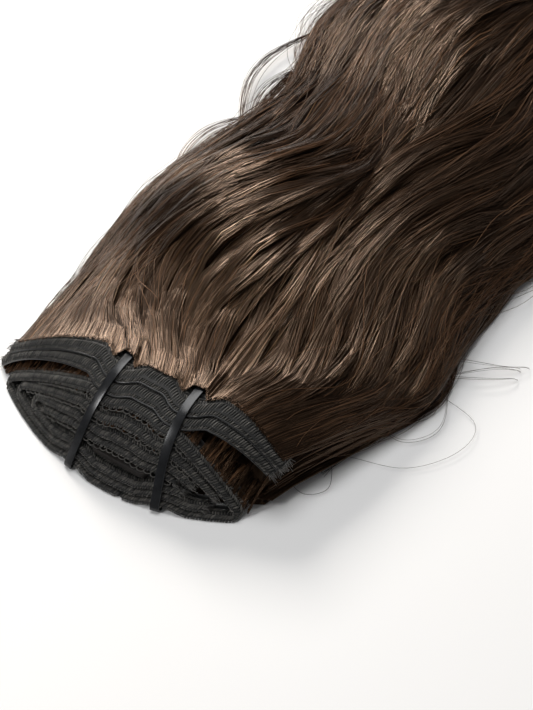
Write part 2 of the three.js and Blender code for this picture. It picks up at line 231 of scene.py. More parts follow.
def turn(side, from_line, to_line, x, count=16):
    """A rounded turn from one line of a fold to the other."""
    pull = (4 / 3) * FOLD_RADIUS

    def point_and_handle(line):
        point = np.array([x, float(line(x))])
        way = np.array([side, side * float(slope_of(line, x))])
        return point, point + pull * way / np.linalg.norm(way)

    start, start_handle = point_and_handle(from_line)
    end, end_handle = point_and_handle(to_line)
    t = np.linspace(0, 1, count + 1)[1:-1, None]
    return (
        (1 - t) ** 3 * start
        + 3 * (1 - t) ** 2 * t * start_handle
        + 3 * (1 - t) * t**2 * end_handle
        + t**3 * end
    )


def outer_fold_path():
    left = open_end(OUTER_FOLD, -1, 2 * FOLD_RADIUS)
    right = open_end(OUTER_FOLD, 1, 2 * FOLD_RADIUS)
    return np.concatenate([
        along_line(outer_lower, OUTER_FOLD_SEAM + CLEARANCE, right),
        turn(1, outer_lower, outer_upper, right),
        along_line(outer_upper, right, left),
        turn(-1, outer_upper, outer_lower, left),
        along_line(outer_lower, left, OUTER_FOLD_SEAM - CLEARANCE),
    ])


def nested_fold_path(fold):
    left = open_end(fold, -1, 2 * FOLD_RADIUS)
    right = open_end(fold, 1, 2 * FOLD_RADIUS)
    return np.concatenate([
        along_line(fold[0], right, left),
        turn(-1, fold[0], fold[1], left),
        along_line(fold[1], left, right - BAND_THICKNESS),
    ])


def core_path():
    left = open_end(INNER_FOLD, -1, CORE_OPENING)
    right = open_end(INNER_FOLD, 1, CORE_OPENING)
    return along_line(core_line, left, right)


def front_edge(x):
    return FRONT_BULGE * ((x / side_of(x, FRONT_REACH)) ** 2 - 1)


def lean_at(z):
    return FRONT_LEAN * z + FRONT_CROWN * np.clip(z / STACK_HEIGHT, 0, 1) ** FRONT_CROWN_POWER


def stack_y(x, z, depth):
    return front_edge(x) + lean_at(z) + depth


# The pile's curves


PILE_FINE = np.linspace(0, 1, 401)
PILE_EASE = 14


def eased(values, reach):
    """Values smoothed over their neighbours, with both ends kept."""
    window = np.hanning(2 * reach + 3)[1:-1]
    padded = np.pad(values, reach, mode="reflect", reflect_type="odd")
    return np.convolve(padded, window / window.sum(), mode="valid")


def pile_curve(name, tip):
    """One share of the pile, from its rows, by share of its length."""
    along = np.append(PILE["along"], 1)
    values = np.append(PILE[name], PILE[name][-1] * tip)
    return eased(np.interp(PILE_FINE, along, values), PILE_EASE)


PILE_CURVES = [
    pile_curve(name, tip)
    for name, tip in (("left", TIP_SPREAD), ("right", TIP_SPREAD), ("height", TIP_HEIGHT))
]


def pile_at(along):
    """Left, right and height shares of the pile at a share of its length."""
    return [np.interp(along, PILE_FINE, curve) for curve in PILE_CURVES]


def pile_edges(along):
    left, right, _ = pile_at(along)
    return -HAIR_HALF_WIDTH * left, HAIR_HALF_WIDTH * right


def pile_height(along, x):
    """Top of the pile: the back of the top band at the start, and a low dome further on."""
    low, high = pile_edges(along)
    across = np.clip((2 * x - low - high) / (high - low), -1, 1)
    dome = HAIR_HEIGHT * pile_at(along)[2] * (1 - (np.abs(across) * DOME_EDGE) ** DOME_POWER)
    root_low, root_high = pile_edges(0.0)
    stack = top_line(mix(root_low, root_high, (across + 1) / 2)) + BAND_TAIL / 2
    return mix(np.maximum(dome, stack), dome, smooth(along / LEAN_FADE))


def hair_y(along, x, z, depth=BAND_DEPTH):
    lean = 1 - smooth(along / LEAN_FADE)
    return mix(HAIR_START, stack_y(x, z, depth), lean) + along * HAIR_LENGTH


def bend_path(row, y):
    """Where one row of the bend table runs across the pile, at places y along it."""
    places = [BEND_START, *row[1:9:2], HAIR_START + HAIR_LENGTH]
    offsets = [row[0], *row[2:9:2], row[9]]
    out = np.full_like(y, row[0], dtype=float)
    for i in range(len(places) - 1):
        t = np.clip((y - places[i]) / (places[i + 1] - places[i]), 0, 1)
        ease = np.sin(t * math.pi / 2) if i == 0 else (1 - np.cos(t * math.pi)) / 2
        out = np.where(y >= places[i], mix(offsets[i], offsets[i + 1], ease), out)
    return out


FLOW_Y = np.linspace(-20, 410, 216)
FLOW_ROOT = np.linspace(-60, 56, 233)


def flow_grid():
    """How far across a hair lies, by place along the pile and by root."""
    share = np.clip((FLOW_Y - 10) / HAIR_LENGTH, 0, 1)
    low, high = pile_edges(share)
    roots = [low[0], *BENDS["root"], high[0]]
    lines = [low, *[bend_path(row, FLOW_Y) for row in BEND_ROWS], high]
    grid = np.array([np.interp(FLOW_ROOT, roots, [line[i] for line in lines])
                     for i in range(len(FLOW_Y))])
    grid = np.array([eased(line, 10) for line in grid])
    return np.array([eased(line, 4) for line in grid.T]).T


FLOW = flow_grid()
FLOW_SLOPE = np.gradient(FLOW, FLOW_Y, axis=0)


def from_grid(grid, root, y):
    i = np.clip((y - FLOW_Y[0]) / (FLOW_Y[1] - FLOW_Y[0]), 0, len(FLOW_Y) - 1.001)
    j = np.clip((root - FLOW_ROOT[0]) / (FLOW_ROOT[1] - FLOW_ROOT[0]), 0, len(FLOW_ROOT) - 1.001)
    i0, j0 = i.astype(int), j.astype(int)
    a = mix(grid[i0, j0], grid[i0, j0 + 1], j - j0)
    b = mix(grid[i0 + 1, j0], grid[i0 + 1, j0 + 1], j - j0)
    return mix(a, b, i - i0)


def flow_x(root, y):
    return from_grid(FLOW, root, y)


# A wave in hair is a helix: it rises where it runs to the right and dips where it runs back
RELIEF = 11.0


def relief(root, y):
    return RELIEF * from_grid(FLOW_SLOPE, root, y)


# Materials


THREAD_COLOURS = ((0.004, 0.004, 0.0038), (0.14, 0.13, 0.114))
EDGING_COLOURS = ((0.004, 0.004, 0.005), (0.02, 0.02, 0.02))
HAIR_COLOURS = ((0.004, 0.0022, 0.0014), (0.022, 0.0115, 0.0065), (0.13, 0.066, 0.034))
# The bed's colours are darker than the strands' own: painted shade for the hair deep in the pile.
BED_SHADE_COLOURS = ((0.002, 0.0012, 0.0008), (0.012, 0.007, 0.004), (0.03, 0.018, 0.011))


def new_material(name):
    material = bpy.data.materials.new(name)
    material.use_nodes = True
    nodes = material.node_tree.nodes
    return material, nodes, material.node_tree.links, nodes["Principled BSDF"]


def ramp(nodes, stops):
    node = nodes.new("ShaderNodeValToRGB")
    elements = node.color_ramp.elements
    while len(elements) < len(stops):
        elements.new(0.5)
    for element, (place, colour) in zip(elements, stops):
        element.position = place
        element.color = (*colour, 1)
    return node


def attribute(nodes, name):
    node = nodes.new("ShaderNodeAttribute")
    node.attribute_name = name
    return node


def hair_material(name, dark, middle, light, roughness):
    """Hair whose colour goes by each strand's tone and changes a little along it."""
    material, nodes, links, shader = new_material(name)
    tone = attribute(nodes, "tone")
    place = attribute(nodes, "place")
    noise = nodes.new("ShaderNodeTexNoise")
    noise.inputs["Scale"].default_value = 1
    noise.inputs["Detail"].default_value = 2
    links.new(place.outputs["Vector"], noise.inputs["Vector"])
    blend = nodes.new("ShaderNodeMath")
    blend.operation = "MULTIPLY_ADD"
    blend.inputs[1].default_value = 0.5
    links.new(noise.outputs["Fac"], blend.inputs[0])
    links.new(tone.outputs["Fac"], blend.inputs[2])
    colours = ramp(nodes, [(0.2, dark), (0.62, middle), (1.0, light)])
    links.new(blend.outputs["Value"], colours.inputs["Fac"])
    links.new(colours.outputs["Color"], shader.inputs["Base Color"])
    shader.inputs["Roughness"].default_value = roughness
    shader.inputs["IOR"].default_value = 1.55
    shader.inputs["Specular IOR Level"].default_value = 0.6
    shader.inputs["Specular Tint"].default_value = (1.0, 0.62, 0.38, 1)
    return material


def thread_material(name, dark, light, roughness):
    """Twisted sewing thread: each stitch has its own tone, with fine plies in the bump."""
    material, nodes, links, shader = new_material(name)
    tone = attribute(nodes, "tone")
    colours = ramp(nodes, [(0.0, dark), (1.0, light)])
    links.new(tone.outputs["Fac"], colours.inputs["Fac"])
    links.new(colours.outputs["Color"], shader.inputs["Base Color"])
    coords = nodes.new("ShaderNodeTexCoord")
    noise = nodes.new("ShaderNodeTexNoise")
    noise.inputs["Scale"].default_value = 2400
    noise.inputs["Detail"].default_value = 3
    links.new(coords.outputs["Object"], noise.inputs["Vector"])
    bump = nodes.new("ShaderNodeBump")
    bump.inputs["Strength"].default_value = 0.5
    bump.inputs["Distance"].default_value = 0.0001
    links.new(noise.outputs["Fac"], bump.inputs["Height"])
    links.new(bump.outputs["Normal"], shader.inputs["Normal"])
    shader.inputs["Roughness"].default_value = roughness
    shader.inputs["Sheen Weight"].default_value = 0.25
    shader.inputs["Sheen Roughness"].default_value = 0.4
    return material


def strap_material():
    material, nodes, links, shader = new_material("strap_gloss")
    coords = nodes.new("ShaderNodeTexCoord")
    noise = nodes.new("ShaderNodeTexNoise")
    noise.inputs["Scale"].default_value = 300
    noise.inputs["Detail"].default_value = 4
    links.new(coords.outputs["Object"], noise.inputs["Vector"])
    colours = ramp(nodes, [(0.3, (0.004, 0.0045, 0.0055)), (0.8, (0.012, 0.013, 0.016))])
    links.new(noise.outputs["Fac"], colours.inputs["Fac"])
    links.new(colours.outputs["Color"], shader.inputs["Base Color"])
    rough = nodes.new("ShaderNodeMapRange")
    rough.inputs["To Min"].default_value = 0.16
    rough.inputs["To Max"].default_value = 0.3
    links.new(noise.outputs["Fac"], rough.inputs["Value"])
    links.new(rough.outputs["Result"], shader.inputs["Roughness"])
    bump = nodes.new("ShaderNodeBump")
    bump.inputs["Strength"].default_value = 0.15
    bump.inputs["Distance"].default_value = 0.0002
    links.new(noise.outputs["Fac"], bump.inputs["Height"])
    links.new(bump.outputs["Normal"], shader.inputs["Normal"])
    shader.inputs["IOR"].default_value = 1.55
    return material


def clip_material():
    material, nodes, links, shader = new_material("clip_enamel")
    coords = nodes.new("ShaderNodeTexCoord")
    noise = nodes.new("ShaderNodeTexNoise")
    noise.inputs["Scale"].default_value = 500
    links.new(coords.outputs["Object"], noise.inputs["Vector"])
    colours = ramp(nodes, [(0.3, (0.004, 0.003, 0.0025)), (0.8, (0.012, 0.008, 0.006))])
    links.new(noise.outputs["Fac"], colours.inputs["Fac"])
    links.new(colours.outputs["Color"], shader.inputs["Base Color"])
    shader.inputs["Roughness"].default_value = 0.65
    shader.inputs["Specular IOR Level"].default_value = 0.25
    return material


def floor_material():
    material, nodes, links, shader = new_material("pale_floor")
    coords = nodes.new("ShaderNodeTexCoord")
    noise = nodes.new("ShaderNodeTexNoise")
    noise.inputs["Scale"].default_value = 3
    links.new(coords.outputs["Object"], noise.inputs["Vector"])
    colours = ramp(nodes, [(0.0, (0.93, 0.93, 0.93)), (1.0, (0.96, 0.96, 0.96))])
    links.new(noise.outputs["Fac"], colours.inputs["Fac"])
    links.new(colours.outputs["Color"], shader.inputs["Base Color"])
    shader.inputs["Roughness"].default_value = 0.9
    return material


# Mesh making


def make_object(name, points, quads, material, attributes=None, normals=None):
    """A mesh object from millimetre points (n, 3) and quads (m, 4)."""
    mesh = bpy.data.meshes.new(name)
    points = np.asarray(points, float)
    quads = np.asarray(quads, np.int32)
    mesh.vertices.add(len(points))
    mesh.vertices.foreach_set("co", (points * MM).astype(np.float32).ravel())
    mesh.loops.add(quads.size)
    mesh.loops.foreach_set("vertex_index", quads.ravel())
    mesh.polygons.add(len(quads))
    mesh.polygons.foreach_set("loop_start", np.arange(0, quads.size, 4, dtype=np.int32))
    mesh.update(calc_edges=True)
    mesh.polygons.foreach_set("use_smooth", np.ones(len(quads), bool))
    for key, values in (attributes or {}).items():
        values = np.asarray(values, np.float32)
        kind = "FLOAT" if values.ndim == 1 else "FLOAT_VECTOR"
        layer = mesh.attributes.new(key, kind, "POINT")
        layer.data.foreach_set("value" if kind == "FLOAT" else "vector", values.ravel())
    if normals is not None:
        mesh.normals_split_custom_set_from_vertices(normals.reshape(-1, 3).tolist())
    mesh.materials.append(material)
    mesh.validate()
    obj = bpy.data.objects.new(name, mesh)
    bpy.context.scene.collection.objects.link(obj)
    return obj


def make_piece(name, arrays, material):
    """A visible piece from arrays of points, quads and what its vertices carry."""
    carried = {key: arrays[key] for key in ("tone", "place") if key in arrays}
    piece = make_object(name, arrays["points"], arrays["quads"], material, carried,
                        arrays.get("normals"))
    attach(piece, "root")
    return piece


def unit(v):
    return v / np.maximum(1e-9, np.linalg.norm(v, axis=-1, keepdims=True))


def strip_quads(count, stations, ring, closed):
    """Quads that join ring after ring along each of count bodies."""
    sides = ring if closed else ring - 1
    body = np.arange(count)[:, None, None] * stations * ring
    station = np.arange(stations - 1)[None, :, None] * ring
    i = np.arange(sides)[None, None, :]
    a = body + station + i
    b = body + station + (i + 1) % ring
    return np.stack([a, b, b + ring, a + ring], -1).reshape(-1, 4)


def along_way(paths):
    return unit(np.gradient(paths, axis=1))


ROUNDING = math.radians(55)


def ribbon_arrays(paths, widths, outward, tone, place):
    """Flat hair ribbons whose shading normals turn from edge to edge, as a round hair's do."""
    count, stations, _ = paths.shape
    way = along_way(paths)
    across = unit(np.cross(way, outward))
    normal = unit(np.cross(across, way))
    half = (widths / 2)[..., None] * across
    points = np.stack([paths - half, paths + half], 2)
    tilt = math.sin(ROUNDING) * across
    normals = np.stack([math.cos(ROUNDING) * normal - tilt, math.cos(ROUNDING) * normal + tilt], 2)
    tones = np.broadcast_to(tone[:, None, None], points.shape[:3])
    places = np.broadcast_to(place[:, :, None, :], points.shape)
    quads = strip_quads(count, stations, 2, False)
    return {
        "points": points.reshape(-1, 3), "quads": quads, "normals": normals.reshape(-1, 3),
        "tone": tones.reshape(-1), "place": places.reshape(-1, 3),
    }


def tube_arrays(paths, radii, tone, sides=4, flat=1.0, upright=None):
    """Round or flattened tubes along paths (n, m, 3)."""
    count, stations, _ = paths.shape
    way = along_way(paths)
    if upright is None:
        upright = np.broadcast_to(np.array([0.0, 0.0, 1.0]), paths.shape)
    across = unit(np.cross(way, upright))
    normal = unit(np.cross(across, way))
    angle = (np.arange(sides) + 0.5) * 2 * math.pi / sides
    ring = (
        across[:, :, None, :] * np.cos(angle)[:, None]
        + flat * normal[:, :, None, :] * np.sin(angle)[:, None]
    )
    points = paths[:, :, None, :] + radii[..., None, None] * ring
    tones = np.broadcast_to(tone[:, None, None], points.shape[:3])
    return {
        "points": points.reshape(-1, 3), "quads": strip_quads(count, stations, sides, True),
        "tone": tones.reshape(-1),
    }


FLOOR_GAP = 0.03


def above_floor(arrays):
    """Presses flat on the floor whatever would reach through it."""
    points = arrays["points"].copy()
    points[:, 2] = np.maximum(points[:, 2], FLOOR_GAP)
    arrays["points"] = points


def joined(parts):
    start = 0
    quads = []
    for part in parts:
        quads.append(part["quads"] + start)
        start += len(part["points"])
    out = {"quads": np.concatenate(quads)}
    for key in parts[0]:
        if key != "quads":
            out[key] = np.concatenate([part[key] for part in parts])
    return out


# Bands


# Half of a band's section from its nose back: depth, and half of its thickness there
SECTION = np.array([
    [0.0, 0.0], [0.1, 0.42], [0.5, 0.78], [1.2, 0.92], [3.0, 0.92], [5.2, 0.74], [7.0, 0.62],
])
SECTION_AT = np.concatenate([[0], np.cumsum(np.linalg.norm(np.diff(SECTION, axis=0), axis=1))])
BASE_INSET = 0.3


class Band:
    """A band that follows a path of (x, z) points, and its surface by length and girth."""

    def __init__(self, path):
        steps = np.linalg.norm(np.diff(path, axis=0), axis=1)
        self.at = np.concatenate([[0], np.cumsum(steps)])
        self.path = path
        self.length = self.at[-1]

    def centre(self, s):
        return np.stack([np.interp(s, self.at, self.path[:, i]) for i in (0, 1)], -1)

    def surface(self, s, girth, lift=0.0):
        """Points at length s; girth is 0 at the nose, plus on one face and minus on the other."""
        s, girth = np.broadcast_arrays(np.asarray(s, float), np.asarray(girth, float))
        step = 0.3
        before, after = self.centre(s - step), self.centre(s + step)
        way = unit(after - before)
        centre = self.centre(s)
        reach = np.abs(girth)
        depth = np.interp(reach, SECTION_AT, SECTION[:, 0])
        half = np.interp(reach, SECTION_AT, SECTION[:, 1])
        more = np.interp(reach + 0.15, SECTION_AT, SECTION[:, 0]) - depth
        grow = np.interp(reach + 0.15, SECTION_AT, SECTION[:, 1]) - half
        size = np.maximum(1e-6, np.hypot(more, grow))
        depth = depth - lift * grow / size
        half = (half + lift * more / size) * np.sign(girth + 1e-9)
        x = centre[..., 0] - way[..., 1] * half
        z = centre[..., 1] + way[..., 0] * half
        return np.stack([x, stack_y(x, z, depth), z], -1)


# Rows of stitches: girth where a stitch starts and ends, and its slant along the band
STITCH_COLUMNS = ("start", "end", "slant")
STITCH_ROWS = (
    (-4.6, -3.3, 0.55),
    (-3.1, -1.7, -0.6),
    (-1.5, -0.1, 0.6),
    (0.1, 1.5, 0.6),
    (1.7, 3.1, -0.6),
    (3.3, 4.6, 0.55),
)
STITCH_PITCH = 0.92
STITCH_RADIUS = 0.36


def band_base(band):
    """The band's closed body, under its stitches."""
    stations = max(12, int(band.length / 1.0))
    s = np.linspace(0.05, band.length - 0.05, stations)
    girth = np.concatenate([SECTION_AT[:0:-1] * -1, SECTION_AT])
    points = band.surface(s[:, None], girth[None, :], -BASE_INSET)
    ring = len(girth)
    quads = strip_quads(1, stations, ring, True)
    caps = []
    for end in (0, (stations - 1) * ring):
        for i in range(ring // 2):
            caps.append([end + i, end + i + 1, end + ring - 2 - i, end + ring - 1 - i])
    return {
        "points": points.reshape(-1, 3),
        "quads": np.concatenate([quads, [c for c in caps if len(set(c)) == 4]]),
        "tone": np.full(stations * ring, 0.0),
    }


def band_stitches(band, rng):
    parts = []
    for row in STITCH_ROWS:
        stitch = dict(zip(STITCH_COLUMNS, row))
        count = int((band.length - 1.2) / STITCH_PITCH)
        s = 0.6 + (np.arange(count) + 0.5) * STITCH_PITCH + rng.normal(0, 0.06, count)
        t = np.linspace(0, 1, 4)[None, :]
        wander = rng.normal(0, 0.08, (count, 1))
        girth = mix(stitch["start"], stitch["end"], t) + wander
        along = s[:, None] + stitch["slant"] * (t - 0.5) * 1.5
        lift = STITCH_RADIUS * 0.35 * np.sin(np.pi * np.clip(t, 0.05, 0.95))
        along, girth = np.broadcast_arrays(along, girth)
        paths = band.surface(along, girth, lift)
        upright = unit(band.surface(along, girth, lift + 0.4) - paths)
        radii = STITCH_RADIUS * np.array([0.35, 1.0, 1.0, 0.35])[None, :]
        radii = radii * rng.uniform(0.8, 1.15, (count, 1))
        tone = rng.beta(1.4, 2.2, count)
        parts.append(tube_arrays(paths, radii, tone, 4, 0.75, upright))
    return joined(parts)


LOOP_PITCH = 2.7
LOOP_DROP = 1.3
LOOP_THREAD = 0.16


def band_loops(band, side, start, end, rng):
    """Picot loops that hang from one edge of a band's nose."""
    count = int((end - start) / LOOP_PITCH)
    s = start + (np.arange(count) + 0.5) * LOOP_PITCH
    t = np.linspace(0, 1, 11)[None, :]
    turn_angle = math.pi * t
    along = s[:, None] - 0.56 * LOOP_PITCH * np.cos(turn_angle)
    drop = np.sin(turn_angle) * LOOP_DROP * rng.uniform(0.8, 1.15, (count, 1))
    base = band.surface(along, np.full_like(along, side * 0.9), 0.1)
    outward = unit(band.surface(along, np.full_like(along, side * 1.1), 1.0) - base)
    forward = np.array([0.0, -0.75, -0.1])
    way = unit(outward * 0.75 + forward)
    paths = base + way * drop[..., None]
    radii = np.full(paths.shape[:2], LOOP_THREAD)
    return tube_arrays(paths, radii, rng.uniform(0.2, 0.6, count), 5)


def frayed_end(band, at_end, rng, count=46):
    """Short loose threads at a cut end."""
    s = band.length if at_end else 0.0
    way = 1 if at_end else -1
    girth = rng.uniform(-5, 5, count)
    root = band.surface(np.full(count, s - way * 0.6), girth, 0.0)
    ahead = band.surface(np.full(count, s - way * 0.1), girth, 0.0)
    heading = unit(ahead - root) + rng.normal(0, 0.35, (count, 3))
    t = np.linspace(0, 1, 4)
    length = rng.uniform(1.0, 2.6, count)
    paths = root[:, None] + heading[:, None] * (length[:, None] * t)[..., None]
    paths[..., 2] = np.maximum(0.3, paths[..., 2] - 0.4 * (t**2)[None, :])
    radii = np.broadcast_to(0.11 * (1 - 0.5 * t), paths.shape[:2])
    return tube_arrays(paths, radii, rng.uniform(0.2, 1, count), 3)


def make_band(name, path, materials, rng, loops=(), cut_ends=(False, True)):
    band = Band(path)
    parts = [band_base(band), band_stitches(band, rng)]
    for side, start, end in loops:
        parts.append(band_loops(band, side, start * band.length, end * band.length, rng))
    parts += [frayed_end(band, at_end, rng) for at_end in cut_ends]
    arrays = joined(parts)
    above_floor(arrays)
    return make_piece(name, arrays, materials["thread"]), band


EDGING_RADIUS = 0.36


def make_edging(name, bands, materials):
    """The smooth glossy cord along the lower lip of the two open bands."""
    parts = []
    for band, girth in bands:
        s = np.linspace(0.8, band.length - 0.8, 150)
        path = band.surface(s, np.full_like(s, girth), EDGING_RADIUS * 0.6)[None]
        parts.append(tube_arrays(path, np.full((1, len(s)), EDGING_RADIUS), np.array([0.1]), 8))
    return make_piece(name, joined(parts), materials["edging"])


# Straps


def outward_angle(way):
    """Angle of the outward normal of a stretch of the hull."""
    return math.atan2(way[0], -way[1])


def strap_path(tie):
    """Centre line of a strap: it hugs the stack in its own upright plane."""
    reach = CLEARANCE + TIE_THICKNESS / 2
    top_z = float(arch_top(np.float64(tie["top"])))

    def across_at(z):
        return mix(tie["bottom"], tie["top"], z / top_z)

    def line(z, depth):
        return np.stack([stack_y(across_at(z), z, depth), z], 1)

    hull = np.concatenate([
        line(np.linspace(TIE_RISE, top_z, 25), 0),
        line(np.linspace(top_z, TIE_RISE, 17), BAND_DEPTH),
    ])
    points = []
    for i, corner in enumerate(hull):
        a = outward_angle(corner - hull[i - 1])
        b = outward_angle(hull[(i + 1) % len(hull)] - corner)
        b += -2 * math.pi if b - a > math.pi else 2 * math.pi if b - a < -math.pi else 0
        count = int(abs(b - a) / 0.2)
        for angle in np.linspace(a, b, count + 1) if count > 1 else [(a + b) / 2]:
            y = corner[0] + reach * math.cos(angle)
            z = corner[1] + reach * math.sin(angle)
            points.append((across_at(z), y, z))
    points = np.array(points)
    for _ in range(2):
        points = (np.roll(points, 1, 0) + 2 * points + np.roll(points, -1, 0)) / 4
    return points


# A strap's section with bevelled edges, in half widths and half thicknesses
STRAP_SECTION = (
    (-1, -0.5), (-0.92, -1), (0.92, -1), (1, -0.5), (1, 0.5), (0.92, 1), (-0.92, 1), (-1, 0.5),
)


def strap_rings(centres, outs, width, thickness):
    """Rings of the strap's section round centres, with its thickness along outs."""
    rings = []
    for side, lift in STRAP_SECTION:
        corner = centres + outs * lift * thickness[:, None] / 2
        corner[:, 0] += side * width / 2
        corner[:, 1] += front_edge(corner[:, 0]) - front_edge(centres[:, 0])
        rings.append(corner)
    return np.stack(rings, 1).reshape(-1, 3)


def strap_head(tie):
    """The strap's locking head, on its back run among the hair."""
    width, depth, length = TIE_HEAD
    z = float(arch_top(np.float64(tie["top"]))) / 2
    x = mix(tie["bottom"], tie["top"], 0.5)
    tilt = slope_of(lean_at, z)
    stretch = math.hypot(1, slope_of(front_edge, x), tilt)
    y = stack_y(x, z, BAND_DEPTH + (CLEARANCE + depth / 2) * stretch)
    up = unit(np.array([0, tilt, 1]))
    share = np.array([-1, -0.88, 0.88, 1])[:, None]
    centres = np.array([x, y, z]) + share * up * length / 2
    outs = np.repeat([[0, up[2], -up[1]]], 4, 0)
    grow = np.array([0.86, 1, 1, 0.86])
    points = strap_rings(centres, outs, width * grow, depth * grow)
    quads = strip_quads(1, 4, 8, True)
    caps = [[end + i, end + i + 1, end + 6 - i, end + 7 - i] for end in (0, 24) for i in range(3)]
    return {"points": points, "quads": np.concatenate([quads, caps])}


def make_strap(tie, materials):
    path = strap_path(tie)
    way = np.roll(path, -1, 0) - np.roll(path, 1, 0)
    way[:, 0] = 0
    way = unit(way)
    out = np.stack([np.zeros(len(path)), -way[:, 2], way[:, 1]], 1)
    thickness = np.full(len(path), TIE_THICKNESS)
    points = strap_rings(path, out, TIE_WIDTH, thickness)
    quads = strip_quads(1, len(path) + 1, len(STRAP_SECTION), True) % len(points)
    arrays = joined([{"points": points, "quads": quads}, strap_head(tie)])
    piece = make_piece(tie["name"] + "_loop", arrays, materials["strap"])
    piece.modifiers.new("even_faces", "WEIGHTED_NORMAL")
    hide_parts(tie["name"])
    return piece


# Hair


STATIONS = 31
STATION_CROWDING = 1.12
FADE_IN = 0.18
EDGE_SQUEEZE = 2.5
LOWEST_STRAND = 0.35
PLACE_SCALE = 38

# Hair on top of the stack: its height over the top band's middle, its depth behind the front
# edge, and how far along it stays there and then takes to leave
CROWN_START = 0.9
ROOT_LIFT = (1.35, 1.75)
ROOT_DEPTH = (0.6, 1.9)
ROOT_HOLD = 0.012
ROOT_LEAVE = 0.05


def wobble(y, count, rng, sizes, lengths):
    """Smooth random sway for each of count strands."""
    total = 0
    for size, length in zip(sizes, lengths):
        phase = rng.uniform(0, 2 * math.pi, (count, 1))
        stretch = rng.uniform(0.85, 1.2, (count, 1))
        total = total + rng.normal(0, size, (count, 1)) * np.sin(
            2 * math.pi * y / (length * stretch) + phase
        )
    return total


# Families of hair: locks, strands in a lock, lowest and highest share of the pile's height,
# lock size across and in height, ribbon width, and tone; the tone is lower for the middle and
# bottom families, which lie deep in the pile, as painted shade
HAIR_COLUMNS = ("name", "locks", "strands", "low", "high", "wide", "tall", "ribbon", "tone")
HAIR_ROWS = (
    ("hair_crown_left", 30, 76, 0.9, 1.0, 3.6, 2.6, 0.42, 0.26),
    ("hair_crown_right", 30, 76, 0.9, 1.0, 3.6, 2.6, 0.42, 0.26),
    ("hair_crown_over", 26, 58, 0.97, 1.04, 2.4, 1.5, 0.36, 0.34),
    ("hair_side_left", 14, 66, 0.5, 1.0, 3.2, 2.4, 0.42, 0.26),
    ("hair_edge_left", 12, 60, 0.15, 0.95, 2.2, 2.4, 0.45, 0.26),
    ("hair_edge_right", 12, 60, 0.15, 0.95, 2.2, 2.4, 0.45, 0.26),
    ("hair_middle_locks", 20, 50, 0.5, 0.88, 7.0, 3.0, 0.6, 0.16),
    ("hair_bottom_locks", 16, 40, 0.06, 0.42, 7.0, 2.6, 0.6, 0.14),
)
ROOT_SPAN = {
    "hair_crown_left": (-58, 2),
    "hair_crown_right": (-2, 53.5),
    "hair_side_left": (-59, -42),
    "hair_edge_left": (-60, -55),
    "hair_edge_right": (50.5, 55),
}
WHOLE_SPAN = (-56, 52)


# Hair that starts beside a strap rises over it
OVER_STRAP = 1.8
OVER_STRAP_FADE = 3.5


def over_strap(x):
    beside = [(np.abs(x - tie["top"]) - TIE_WIDTH / 2) / OVER_STRAP_FADE for tie in TIES]
    return 1 - smooth(np.minimum(*beside))


